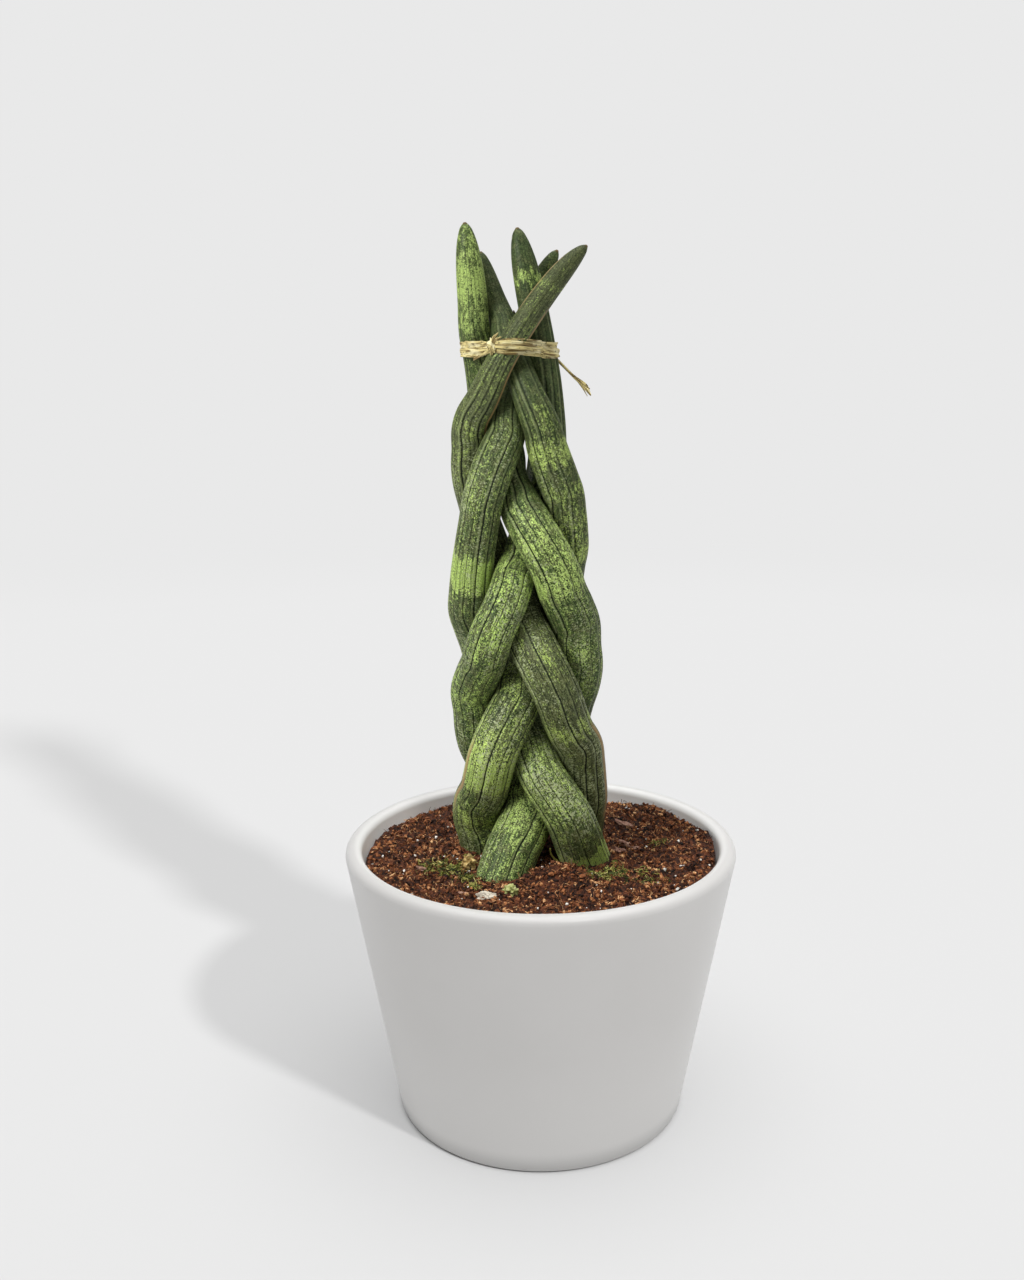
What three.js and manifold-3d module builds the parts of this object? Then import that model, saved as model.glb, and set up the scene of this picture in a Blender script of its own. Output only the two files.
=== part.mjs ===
// A braided snake plant in a tapered ceramic pot, filled with coir and tied near its tips with raffia.
// Millimetres, z up. The middle of the pot's foot is the origin, and the front of the braid faces -y.
import * as THREE from "three";
import { mergeVertices } from "three/addons/utils/BufferGeometryUtils.js";
import Module from "manifold-3d";

// Pot
const POT_HEIGHT = 106;
const RIM_RADIUS = 75;
const FOOT_RADIUS = 55.5;
const FOOT_BEVEL = 1.2;
const WALL = 6.4;
const FLOOR = 8;
const FLOOR_CORNER = 6;
const ROUND_SIDES = 64;
const RIM_STEPS = 6;

// Soil
const SOIL_LEVEL = 97.5;
const SOIL_RINGS = 16;
const CRUMB = 1.1;
const SWELL = { height: 0.5, x: 0.13, y: 0.11 };
const MOUNDS = [
  { x: 6, y: -27, across: 12, height: 4 },
  { x: 25, y: 0, across: 13, height: 2 },
  { x: -30, y: 4, across: 12, height: 2.5 },
  { x: 30, y: 32, across: 17, height: 2.5 },
];
const GAP = 0.3;
const HOLE_ROOM = 0.6;

// Loose bits that lie in the soil, by their middles and half sizes, and how rough they are
const ROUGH = [0.16, 0.1];
const BITS = [
  { name: "bark_chip", material: "bark", at: [-27, -12, 99.5], half: [2.6, 2.2, 3.2], turn: 0.5 },
  { name: "stone_chip", material: "stone", at: [-19.5, -38.5, 97.6], half: [3.2, 2, 1.9], turn: 0.35 },
  { name: "moss_lump", material: "moss", at: [-11, -35.5, 98.6], half: [2.6, 2.3, 2.6], turn: 1.1 },
];

// Leaves: thickness by the distance from the tip, and by height near the soil
const TIP_LENGTH = 11;
const TIP_BLUNTNESS = 0.6;
const TIP_END = 0.15;
const NECK = { from: 38, to: 85 };
const SHOULDER = { from: 100, to: 170 };
const FOOT = { swell: 0.1, from: 140, to: 100 };
const GROOVES = 7;
const GROOVE_DEPTH = 0.09;
const GROOVE_SHARPNESS = 3;
const GROOVE_END = 0.9;
const LEAF_SIDES = 21;
const SLENDER = 5;
const SLENDER_SIDES = 9;
const LEAF_STEPS = 44;
const TIP_CROWDING = 1.4;
const FRAME_STEPS = 200;
const LEAF_GAP = 0.8;
const SETTLE_STEPS = 72;
const SETTLE_ROUNDS = 600;
const FAIR_ROUNDS = 60;
const FAIR_REACH = 3;
const FAIR_SHARE = 0.5;
const STIFFNESS = 0.9;
const HOLD_ACROSS = 0.1;
const HOLD_DEEP = 0.01;
const PUSH = 0.2;
const PUSH_ACROSS = 0.35;

// The braid is pressed flat from front to back, to this part of a round leaf's depth
const PRESSED = 0.85;

// Each leaf's way from its foot in the soil, through the braid, to its tip
const LEAVES = [
  {
    name: "leaf_1",
    radii: { tip: 5.6, upper: 8, lower: 9.2 },
    way: [
      [-19, -26, 72], [-15.4, -20, 97], [-12.2, -15, 110], [-2.6, -5, 124], [3, 3, 136],
      [9, 8, 151], [13.5, 5, 165], [12.6, 0, 178], [10, -6, 199], [3, -8.5, 213], [-5.3, -7, 224], [-7, 0, 237],
      [-14, 7, 252], [-20.5, 7, 266], [-20.5, 3, 282], [-21.6, -2, 302], [-25, -3, 321],
      [-26.3, -3, 331.5],
    ],
  },
  {
    name: "leaf_2",
    radii: { tip: 4.7, upper: 7.2, lower: 8.6 },
    way: [
      [24, 12, 72], [18, 3, 97], [10.5, -5, 117], [0, -8, 135], [-4.5, -3, 145], [-9, 3, 155],
      [-17, 8, 169], [-24, 6, 184], [-26.5, 0, 200], [-23, -7, 222], [-16, -8, 249], [-12.5, -5, 260],
      [-10, 1, 270], [-9.5, 6, 281], [-5.5, 8.5, 297], [0.5, 8, 314], [6, 7, 323.5],
    ],
  },
  {
    name: "leaf_3",
    radii: { tip: 4.8, upper: 7.3, lower: 9 },
    way: [
      [-19, 16, 72], [-20.5, 8, 98], [-21.4, 0, 113], [-20.2, -6, 131], [-15.5, -8.5, 149],
      [-10, -5, 162], [-5.5, 1, 173], [1, 7, 187], [7, 7, 203], [9.8, 0, 226], [4.5, -7.5, 245.5],
      [-1.5, -7, 261], [-6, -3, 273], [-10, 3, 286], [-15.8, 8, 300], [-21.6, 9, 323],
    ],
  },
  {
    name: "leaf_4",
    radii: { tip: 4.6, upper: 6.4, lower: 8.7 },
    way: [
      [13, 28, 72], [14, 22, 97], [15, 11, 115], [16.7, 0, 134], [13, -7, 147], [6.4, -8.5, 162.5],
      [-4.9, -8, 177.5], [-7, -3, 188], [-7, 2, 198], [-14, 8, 212], [-22, 6, 228], [-28.7, 0, 247],
      [-24.8, -6, 261], [-14, -9.5, 278], [-3.8, -9.5, 293], [0.5, -7, 306], [9.4, -5, 317],
      [16, -4, 323.5],
    ],
  },
  {
    name: "leaf_5",
    radii: { tip: 5.5, upper: 6.8, lower: 8.1 },
    way: [
      [-4, 33, 72], [-8, 24, 98], [-14, 16, 118], [-20, 9, 134], [-26.6, 0.5, 156], [-19.3, -8, 181],
      [-9.2, -8.5, 200], [-2.2, -4.5, 213], [-4, 2, 225], [-0.4, 8, 240], [4, 5, 255], [4.5, 0, 268],
      [0.8, -4, 282.5], [-3.8, -5, 296], [-5, -3, 313], [-8.3, -2, 330],
    ],
  },
  {
    name: "leaf_slender",
    radii: { tip: 2, upper: 3, lower: 3.8 },
    way: [
      [5, 35, 78], [3, 33, 99], [-1, 26, 130], [-5, 21, 160], [-8, 18, 190], [-8, 16, 221],
      [-1, 15, 249], [-2, 13, 271], [-7, 10, 290], [-9.8, 8, 303],
    ],
  },
];

// Raffia tie
const TIE_HEIGHT = 289;
const TIE_WIDTH = 4.6;
const TIE_SPREAD = 0.2;
const TIE_THICKNESS = 0.8;
const TIE_PINCH = 18;
const TIE_STEPS = 40;
const KNOT = { x: -16.7, half: [2, 1.3, 2.9], turn: 0.4, sunk: 0.3 };
const TAIL_WIDTH = 1.8;
const TAIL_THICKNESS = 0.7;
const TAIL_TURN = 0.45;
const TAIL_STEPS = 14;
const TAIL = [[0, 0, -1], [1.2, 0.6, -3.4], [4.6, 1, -7.4], [9, 0.6, -11.4], [13.6, 0, -16]];

const wasm = await Module();
wasm.setup();

const COLOURS = {
  glaze: new THREE.MeshStandardMaterial({ color: 0xe9e9e9, roughness: 0.45, metalness: 0 }),
  coir: new THREE.MeshStandardMaterial({ color: 0x5a3220, roughness: 1, metalness: 0 }),
  leaf: new THREE.MeshStandardMaterial({ color: 0x4d6a32, roughness: 0.5, metalness: 0 }),
  raffia: new THREE.MeshStandardMaterial({ color: 0xb9a263, roughness: 0.7, metalness: 0 }),
  bark: new THREE.MeshStandardMaterial({ color: 0xb18346, roughness: 0.9, metalness: 0 }),
  moss: new THREE.MeshStandardMaterial({ color: 0x9aa052, roughness: 0.9, metalness: 0 }),
  stone: new THREE.MeshStandardMaterial({ color: 0xd3c8ae, roughness: 0.9, metalness: 0 }),
};

function solidOf(geometry) {
  const plain = geometry.clone();
  plain.deleteAttribute("normal");
  plain.deleteAttribute("uv");
  const merged = mergeVertices(plain, 1e-4);
  return new wasm.Manifold(
    new wasm.Mesh({
      numProp: 3,
      vertProperties: merged.attributes.position.array,
      triVerts: new Uint32Array(merged.index.array),
    }),
  );
}

function geometryOf(solid) {
  const mesh = solid.getMesh();
  const geometry = new THREE.BufferGeometry();
  geometry.setAttribute("position", new THREE.BufferAttribute(mesh.vertProperties, 3));
  geometry.setIndex(new THREE.BufferAttribute(mesh.triVerts, 1));
  geometry.computeVertexNormals();
  return geometry;
}

function meshOf(name, geometry, material) {
  const mesh = new THREE.Mesh(geometry, material.clone());
  mesh.name = name;
  return mesh;
}

function smoothstep(from, to, value) {
  const t = Math.min(1, Math.max(0, (value - from) / (to - from)));
  return t * t * (3 - 2 * t);
}

// The pot's outer wall is straight from the foot to the rim, and its inner wall runs beside it
function outerRadius(z) {
  return FOOT_RADIUS + ((RIM_RADIUS - FOOT_RADIUS) * z) / POT_HEIGHT;
}

function innerRadius(z) {
  return outerRadius(z) - WALL;
}

function pot() {
  const rim = WALL / 2;
  const rimZ = POT_HEIGHT - rim;
  const profile = [
    new THREE.Vector2(0, 0),
    new THREE.Vector2(FOOT_RADIUS - FOOT_BEVEL, 0),
    new THREE.Vector2(outerRadius(FOOT_BEVEL), FOOT_BEVEL),
  ];
  for (let i = 0; i <= RIM_STEPS; i++) {
    const turn = (i / RIM_STEPS) * Math.PI;
    profile.push(
      new THREE.Vector2(outerRadius(rimZ) - rim + rim * Math.cos(turn), rimZ + rim * Math.sin(turn)),
    );
  }
  const corner = FLOOR + FLOOR_CORNER;
  profile.push(
    new THREE.Vector2(innerRadius(corner), corner),
    new THREE.Vector2(innerRadius(corner) - FLOOR_CORNER, FLOOR),
    new THREE.Vector2(0, FLOOR),
  );
  return new THREE.LatheGeometry(profile, ROUND_SIDES).rotateX(Math.PI / 2);
}

// Thickness of a leaf at a distance from its tip
function leafRadius(leaf, toTip, z) {
  const { tip, upper, lower } = leaf.radii;
  const neck = tip + (upper - tip) * smoothstep(NECK.from, NECK.to, toTip);
  const body = neck + (lower - upper) * smoothstep(SHOULDER.from, SHOULDER.to, toTip);
  const point = Math.pow(1 - Math.exp(-(toTip + TIP_END) / TIP_LENGTH), TIP_BLUNTNESS);
  return body * point * (1 + FOOT.swell * smoothstep(FOOT.from, FOOT.to, z));
}

function curveOf(points) {
  return new THREE.CatmullRomCurve3(points, false, "catmullrom", 0.5);
}

function spread(leaf) {
  const curve = curveOf(leaf.way.map(([x, y, z]) => new THREE.Vector3(x, y / PRESSED, z)));
  const length = curve.getLength();
  leaf.points = curve.getSpacedPoints(SETTLE_STEPS);
  for (let round = 0; round < FAIR_ROUNDS; round++) soften(leaf.points);
  leaf.home = leaf.points.map((p) => p.clone());
  leaf.thickness = leaf.points.map((p, i) => leafRadius(leaf, length * (1 - i / SETTLE_STEPS), p.z));
}

// Moves each point towards the smooth curve through the points a few steps before and after it
function soften(points) {
  const old = points.map((p) => p.clone());
  const bend = new THREE.Vector3();
  for (let i = 2; i < old.length - 2; i++) {
    const k = Math.min(FAIR_REACH, Math.floor(i / 2), Math.floor((old.length - 1 - i) / 2));
    bend.copy(old[i - k]).add(old[i + k]).multiplyScalar(4);
    bend.sub(old[i - 2 * k]).sub(old[i + 2 * k]).divideScalar(6).sub(old[i]);
    points[i].addScaledVector(bend, FAIR_SHARE);
  }
}

// Where two leaves would cross each other they give way, mostly to the front and back.
// What a leaf gives is spread over its length, as a stiff leaf bends.
function settle(leaves) {
  for (let round = 0; round < SETTLE_ROUNDS; round++) {
    const ease = 1 - round / SETTLE_ROUNDS;
    for (const leaf of leaves) {
      const given = leaf.points.map((p, i) => p.clone().sub(leaf.home[i]));
      for (let i = 0; i < given.length; i++) {
        const before = given[Math.max(0, i - 1)];
        const after = given[Math.min(given.length - 1, i + 1)];
        const mean = before.clone().add(after).multiplyScalar(0.5);
        const kept = given[i].clone().lerp(mean, STIFFNESS * ease);
        kept.x *= 1 - HOLD_ACROSS * ease;
        kept.y *= 1 - HOLD_DEEP * ease;
        kept.z *= 1 - HOLD_ACROSS * ease;
        leaf.points[i].copy(leaf.home[i]).add(kept);
      }
    }
    for (let a = 0; a < leaves.length; a++) {
      for (let b = a + 1; b < leaves.length; b++) {
        giveWay(leaves[a], leaves[b]);
      }
    }
  }
}

function giveWay(one, other) {
  const away = new THREE.Vector3();
  for (let i = 0; i < one.points.length; i++) {
    for (let j = 0; j < other.points.length; j++) {
      away.subVectors(one.points[i], other.points[j]);
      const short = one.thickness[i] + other.thickness[j] + LEAF_GAP - away.length();
      if (short > 0) {
        away.setLength(short * PUSH);
        away.x *= PUSH_ACROSS;
        away.z *= PUSH_ACROSS;
        one.points[i].add(away);
        other.points[j].sub(away);
      }
    }
  }
}

// A closed tube along a leaf, from a cylinder whose rings are carried to their places.
// Extra is how much wider and longer at the foot it is than the leaf, for its hole in the soil.
function leafTube(leaf, extra = 0) {
  const slender = leaf.radii.lower < SLENDER;
  const sides = slender ? SLENDER_SIDES : LEAF_SIDES;
  const curve = curveOf(leaf.points);
  const frames = curve.computeFrenetFrames(FRAME_STEPS, false);
  const length = curve.getLength();
  const tube = new THREE.CylinderGeometry(1, 1, 1, sides, LEAF_STEPS);
  const place = tube.attributes.position;
  for (let i = 0; i < place.count; i++) {
    const along = 1 - Math.pow(0.5 - place.getY(i), TIP_CROWDING);
    const angle = Math.atan2(place.getZ(i), place.getX(i)) / (2 * Math.PI);
    const turn = ((Math.round(angle * sides + sides) % sides) / sides) * 2 * Math.PI;
    const out = Math.round(Math.hypot(place.getX(i), place.getZ(i)));
    const frame = Math.round(along * FRAME_STEPS);
    const centre = curve.getPointAt(along);
    const furrow = slender || extra > 0 ? 0 : grooveAt(turn, along);
    const radius = (leafRadius(leaf, length * (1 - along), centre.z) * (1 - furrow) + extra) * out;
    centre.addScaledVector(frames.normals[frame], radius * Math.cos(turn));
    centre.addScaledVector(frames.binormals[frame], -radius * Math.sin(turn));
    if (along === 0) centre.addScaledVector(frames.tangents[0], -extra);
    place.setXYZ(i, centre.x, centre.y * PRESSED, centre.z);
  }
  return tube;
}

// Furrows run along the leaf and fade out at its tip
function grooveAt(turn, along) {
  const wave = 0.5 + 0.5 * Math.cos(turn * GROOVES);
  return GROOVE_DEPTH * Math.pow(wave, GROOVE_SHARPNESS) * smoothstep(1, GROOVE_END, along);
}

// Height of the soil's surface: mounds heaped against the leaves, and crumbs
function soilHeight(x, y) {
  let z = SOIL_LEVEL + SWELL.height * Math.sin(x * SWELL.x + 1) * Math.cos(y * SWELL.y);
  for (const mound of MOUNDS) {
    const near = ((x - mound.x) ** 2 + (y - mound.y) ** 2) / mound.across ** 2;
    z += mound.height * Math.exp(-near);
  }
  const [column, row] = [Math.round(x * 4), Math.round(y * 4)];
  const crumb = Math.sin(column * 12.9898 + row * 78.233) * 43758.5453;
  return z + CRUMB * (2 * (crumb - Math.floor(crumb)) - 1);
}

function soil(holes) {
  const corner = FLOOR + FLOOR_CORNER;
  const profile = [
    new THREE.Vector2(0, FLOOR + GAP),
    new THREE.Vector2(innerRadius(corner) - FLOOR_CORNER - GAP, FLOOR + GAP),
    new THREE.Vector2(innerRadius(corner) - GAP, corner + GAP),
  ];
  const sideSteps = profile.length;
  for (let i = 0; i <= SOIL_RINGS; i++) {
    profile.push(new THREE.Vector2((innerRadius(SOIL_LEVEL) - GAP) * (1 - i / SOIL_RINGS), SOIL_LEVEL));
  }
  const body = new THREE.LatheGeometry(profile, ROUND_SIDES).rotateX(Math.PI / 2);
  const place = body.attributes.position;
  for (let i = 0; i < place.count; i++) {
    const step = i % profile.length;
    if (step < sideSteps) continue;
    const [x, y] = [place.getX(i), place.getY(i)];
    const z = soilHeight(x, y);
    const edge = step === sideSteps ? (innerRadius(z) - GAP) / Math.hypot(x, y) : 1;
    place.setXYZ(i, x * edge, y * edge, z);
  }
  return holes.reduce((rest, hole) => rest.subtract(hole), solidOf(body));
}

// A rough lump, from an icosahedron whose corners are pushed in and out
function lump({ at, half, turn }, extra = 0) {
  const shape = new THREE.IcosahedronGeometry(1, 1);
  const place = shape.attributes.position;
  for (let i = 0; i < place.count; i++) {
    const [x, y, z] = [place.getX(i), place.getY(i), place.getZ(i)];
    const bumps = ROUGH[0] * Math.sin(7 * x + 5 * turn) * Math.cos(6 * y);
    const rough = 1 + bumps + ROUGH[1] * Math.sin(9 * z + turn);
    const [wide, deep, high] = half.map((size) => rough * (size + extra));
    place.setXYZ(i, x * wide, y * deep, z * high);
  }
  return shape.rotateZ(turn).translate(...at);
}

// Where a band drawn tight round the leaves touches them, in the direction of one turn
function bandPoint(leaves, turn, out) {
  const [cos, sin] = [Math.cos(turn), Math.sin(turn)];
  const across = Math.hypot(cos, sin * PRESSED);
  let best = -Infinity;
  const touch = new THREE.Vector2();
  for (const leaf of leaves) {
    const curve = curveOf(leaf.points);
    const length = curve.getLength();
    for (const [i, centre] of curve.getSpacedPoints(FRAME_STEPS).entries()) {
      const beyond = Math.max(0, Math.abs(centre.z - TIE_HEIGHT) - TIE_WIDTH * (0.5 + TIE_SPREAD / 2));
      const radius = leafRadius(leaf, length * (1 - i / FRAME_STEPS), centre.z);
      if (beyond >= radius) continue;
      const reach = Math.sqrt(radius ** 2 - beyond ** 2);
      const far = centre.x * cos + centre.y * PRESSED * sin + reach * across;
      if (far <= best) continue;
      best = far;
      const [outX, outY] = [(reach * cos) / across, (reach * PRESSED ** 2 * sin) / across];
      touch.set(centre.x + outX, centre.y * PRESSED + outY);
    }
  }
  return touch.add(new THREE.Vector2(cos, sin).multiplyScalar(out));
}

// The tie is one strip of raffia: a band, a knot in front and a loose end behind
function tie(leaves) {
  const turns = Array.from({ length: TIE_STEPS }, (_, i) => (i / TIE_STEPS) * 2 * Math.PI);
  const loop = (out) => turns.map((turn) => bandPoint(leaves, turn, out));
  const outline = new THREE.Shape(loop(GAP + TIE_THICKNESS));
  outline.holes.push(new THREE.Path(loop(GAP)));
  const band = new THREE.ExtrudeGeometry(outline, { depth: 1, bevelEnabled: false, steps: 1 });
  const place = band.attributes.position;
  const middle = KNOT.x / 2;
  for (let i = 0; i < place.count; i++) {
    const aside = Math.min(1, Math.abs(place.getX(i) - middle) / TIE_PINCH);
    const width = TIE_WIDTH * (1 - TIE_SPREAD + 2 * TIE_SPREAD * aside ** 2);
    place.setZ(i, TIE_HEIGHT + (place.getZ(i) - 0.5) * width);
  }
  const front = loop(GAP + TIE_THICKNESS).filter((p) => p.y < 0);
  const nearest = front.reduce((a, b) => (Math.abs(a.x - KNOT.x) < Math.abs(b.x - KNOT.x) ? a : b));
  const knot = lump({ ...KNOT, at: [KNOT.x, nearest.y - KNOT.sunk, TIE_HEIGHT] });
  const section = new THREE.Shape([
    new THREE.Vector2(-TAIL_THICKNESS / 2, -TAIL_WIDTH / 2),
    new THREE.Vector2(TAIL_THICKNESS / 2, -TAIL_WIDTH / 2),
    new THREE.Vector2(TAIL_THICKNESS / 2, TAIL_WIDTH / 2),
    new THREE.Vector2(-TAIL_THICKNESS / 2, TAIL_WIDTH / 2),
  ]);
  const root = bandPoint(leaves, TAIL_TURN, GAP + TIE_THICKNESS / 2);
  const start = new THREE.Vector3(root.x, root.y, TIE_HEIGHT);
  const path = new THREE.CatmullRomCurve3(TAIL.map((p) => new THREE.Vector3(...p).add(start)));
  const tail = new THREE.ExtrudeGeometry(section, { steps: TAIL_STEPS, bevelEnabled: false, extrudePath: path });
  return solidOf(band).add(solidOf(knot)).add(solidOf(tail));
}

for (const leaf of LEAVES) spread(leaf);
settle(LEAVES);

const leafHoles = LEAVES.map((leaf) => solidOf(leafTube(leaf, HOLE_ROOM)));
const bitHoles = BITS.map((bit) => solidOf(lump(bit, HOLE_ROOM)));

const group = new THREE.Group();
group.add(meshOf("pot", pot(), COLOURS.glaze));
group.add(meshOf("soil", geometryOf(soil([...leafHoles, ...bitHoles])), COLOURS.coir));
for (const bit of BITS) group.add(meshOf(bit.name, lump(bit), COLOURS[bit.material]));
for (const leaf of LEAVES) {
  group.add(meshOf(leaf.name, leafTube(leaf), COLOURS.leaf));
}
group.add(meshOf("raffia_tie", geometryOf(tie(LEAVES)), COLOURS.raffia));

export default group;
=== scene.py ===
import math

import bmesh
import bpy
import numpy as np
from mathutils import Matrix, Vector, noise


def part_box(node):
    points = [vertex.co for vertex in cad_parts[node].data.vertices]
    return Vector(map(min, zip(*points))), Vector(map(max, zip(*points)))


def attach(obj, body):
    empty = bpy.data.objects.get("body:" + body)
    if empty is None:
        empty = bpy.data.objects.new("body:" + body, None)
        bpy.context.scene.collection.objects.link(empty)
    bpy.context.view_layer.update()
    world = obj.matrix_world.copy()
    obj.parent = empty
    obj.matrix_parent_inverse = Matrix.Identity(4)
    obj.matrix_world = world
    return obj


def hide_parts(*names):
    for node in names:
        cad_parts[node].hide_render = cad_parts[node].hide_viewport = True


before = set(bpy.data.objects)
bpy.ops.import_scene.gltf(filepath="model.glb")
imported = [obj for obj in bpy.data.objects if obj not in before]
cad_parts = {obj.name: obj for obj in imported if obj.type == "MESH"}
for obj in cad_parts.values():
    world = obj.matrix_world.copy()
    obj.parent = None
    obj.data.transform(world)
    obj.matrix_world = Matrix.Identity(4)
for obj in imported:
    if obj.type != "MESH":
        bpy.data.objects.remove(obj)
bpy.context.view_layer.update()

# Camera. A standing look from the front, a little above the rim, with the whole plant in an
# upright frame. The lens is given by the picture's own height in pixels.
MM = 0.001
PICTURE_WIDTH = 1024
PICTURE_HEIGHT = 1280
FOCAL_PIXELS = 1200
MIDDLE_PIXEL = 540.8
SENSOR_WIDTH = 36
CAMERA_PLACE = (0, -438.5 * MM, 271.6 * MM)
CAMERA_TILT = math.radians(11.37)

lens = bpy.data.cameras.new("camera")
lens.sensor_width = SENSOR_WIDTH
lens.lens = SENSOR_WIDTH * FOCAL_PIXELS / PICTURE_HEIGHT
lens.shift_x = (PICTURE_WIDTH / 2 - MIDDLE_PIXEL) / PICTURE_HEIGHT
camera = bpy.data.objects.new("camera", lens)
camera.location = CAMERA_PLACE
camera.rotation_euler = (math.pi / 2 - CAMERA_TILT, 0, 0)
bpy.context.scene.collection.objects.link(camera)
bpy.context.scene.camera = camera
bpy.context.scene.view_settings.view_transform = "Standard"

# Table top. Matt pale paper that runs back under the plant and fades into the backdrop, so that
# no edge shows. A share of the backdrop's tone lightens it everywhere but under the pot.
BACKDROP_TONE = (0.8148, 0.8148, 0.8148, 1)
PAPER_TONE = (0.536, 0.536, 0.536, 1)
PAPER_HALF = 6.0
PAPER_SQUARES = 8
PAPER_FADE = (0.85, 1.8)
PAPER_GLOW = 0.35
GLOW_START = (0.0545, 0.0575)


def add_node(tree, kind, inputs=None, **settings):
    """Adds a shader node with its settings. Each input is a plain value or a node's output."""
    made = tree.nodes.new("ShaderNode" + kind)
    for name, value in settings.items():
        setattr(made, name, value)
    for name, value in (inputs or {}).items():
        if isinstance(value, bpy.types.NodeSocket):
            tree.links.new(value, made.inputs[name])
        else:
            made.inputs[name].default_value = value
    return made


def calculate(tree, operation, first, second=0.0, third=0.0):
    """One step of arithmetic on values."""
    inputs = {0: first, 1: second, 2: third}
    return add_node(tree, "Math", inputs, operation=operation).outputs[0]


def length_of(tree, vector):
    """A vector's length."""
    inputs = {0: vector}
    return add_node(tree, "VectorMath", inputs, operation="LENGTH").outputs["Value"]


def ease(tree, value, start, end, low=0.0, high=1.0):
    """A value carried smoothly from low to high as it passes from start to end."""
    inputs = {0: value, 1: start, 2: end, 3: low, 4: high}
    return add_node(
        tree, "MapRange", inputs, interpolation_type="SMOOTHSTEP"
    ).outputs[0]


def object_place(tree):
    """The place on the piece, in metres."""
    return add_node(tree, "TexCoord").outputs["Object"]


def new_material(name):
    """An empty procedural material, its node tree and its shader."""
    material = bpy.data.materials.new(name)
    material.use_nodes = True
    return material, material.node_tree, material.node_tree.nodes["Principled BSDF"]


def mesh_from(name, bm):
    """A mesh made from a bmesh, which is used up."""
    mesh = bpy.data.meshes.new(name)
    bm.to_mesh(mesh)
    bm.free()
    return mesh


def new_piece(name, bm, material, smooth=True):
    """Makes a finished piece from a bmesh, at the origin."""
    mesh = mesh_from(name, bm)
    mesh.materials.append(material)
    mesh.polygons.foreach_set("use_smooth", [smooth] * len(mesh.polygons))
    piece = bpy.data.objects.new(name, mesh)
    bpy.context.scene.collection.objects.link(piece)
    return piece


paper, tree, shader = new_material("matt_paper")
shader.inputs["Base Color"].default_value = PAPER_TONE
shader.inputs["Roughness"].default_value = 1.0
shader.inputs["Specular IOR Level"].default_value = 0.0
distance = length_of(tree, object_place(tree))
glow_share = ease(tree, distance, *GLOW_START, 0.0, PAPER_GLOW)
glow_share = calculate(tree, "MAXIMUM", ease(tree, distance, *PAPER_FADE), glow_share)
glow = add_node(tree, "Emission", {"Color": BACKDROP_TONE})
paper_mix = add_node(
    tree, "MixShader", {0: glow_share, 1: shader.outputs[0], 2: glow.outputs[0]}
)
tree.links.new(paper_mix.outputs[0], tree.nodes["Material Output"].inputs["Surface"])

bm = bmesh.new()
bmesh.ops.create_grid(bm, x_segments=PAPER_SQUARES, y_segments=PAPER_SQUARES, size=PAPER_HALF)
table_top = new_piece("table_top", bm, paper)

# Studio light. A bright room with light from overhead and behind, darker where the camera stands.
# A small lamp at the right front throws the plant's shadow on the paper alone. Three soft lamps
# give the leaves sheen, lift the pot's rim and light the soil, and each lights only that.
ROOM_AROUND = [(0.0, (0.0, 0.0, 0.0)), (0.5, (0.36, 0.36, 0.36)), (1.0, (0.5, 0.5, 0.5))]
ROOM_TOP = (2.7, 2.7, 2.7, 1)
ROOM_TOP_SPREAD = (0.64, 0.98)
ROOM_TOP_WAY = Vector((0.05, -0.1, 0.98)).normalized()
SHADOW_LAMP = {"power": 27.0, "size": 0.035, "place": (0.423, -0.55, 0.667)}
SHEEN_LAMP = {"power": 4.5, "size": 0.25, "place": (-0.5, -0.5, 0.6), "aim": (0, 0, 0.2)}
RIM_LAMP = {"power": 1.8, "size": 0.2, "place": (0.35, -0.75, 0.85), "aim": (0, 0, 0.1)}
SOIL_LAMP = {"power": 9.0, "size": 0.12, "place": (-0.45, -0.25, 1.1), "aim": (0, 0, 0.1)}


def mix_colours(tree, share, first, second, blend="MIX"):
    """The first colour with a share of the second one on it."""
    inputs = {0: share, 6: first, 7: second}
    return add_node(
        tree, "Mix", inputs, data_type="RGBA", blend_type=blend
    ).outputs[2]


def ramp_of(tree, value, stops):
    """The colour that a value picks from a ramp, whose stops are places and colours."""
    ramp = add_node(tree, "ValToRGB", {0: value})
    elements = ramp.color_ramp.elements
    for i, (at, colour) in enumerate(stops):
        stop = elements[i] if i < 2 else elements.new(1)
        stop.position = at
        stop.color = (*colour, 1)
    return ramp.outputs[0]


def new_lamp(name, kind, receivers, place, **settings):
    """Adds a lamp whose light falls on the named collection only."""
    lamp = bpy.data.objects.new(name, bpy.data.lights.new(name, kind))
    lamp.location = place
    for setting, value in settings.items():
        setattr(lamp.data, setting, value)
    lamp.light_linking.receiver_collection = receivers
    bpy.context.scene.collection.objects.link(lamp)
    return lamp


world = bpy.data.worlds.new("studio")
bpy.context.scene.world = world
world.use_nodes = True
tree = world.node_tree
way = add_node(tree, "TexCoord").outputs["Generated"]
split = add_node(tree, "SeparateXYZ", {0: way})
to_back = calculate(tree, "MULTIPLY_ADD", split.outputs[1], 0.5, 0.5)
around = ramp_of(tree, to_back, ROOM_AROUND)
overhead = add_node(
    tree, "VectorMath", {0: way, 1: ROOM_TOP_WAY}, operation="DOT_PRODUCT"
).outputs["Value"]
room = mix_colours(tree, ease(tree, overhead, *ROOM_TOP_SPREAD), around, ROOM_TOP)
seen = add_node(tree, "LightPath").outputs["Is Camera Ray"]
tree.links.new(mix_colours(tree, seen, room, BACKDROP_TONE), tree.nodes["Background"].inputs[0])

lit_paper, lit_plant, lit_rim, lit_soil = (
    bpy.data.collections.new(name) for name in ("lit_paper", "lit_plant", "lit_rim", "lit_soil")
)
lit_paper.objects.link(table_top)

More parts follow.
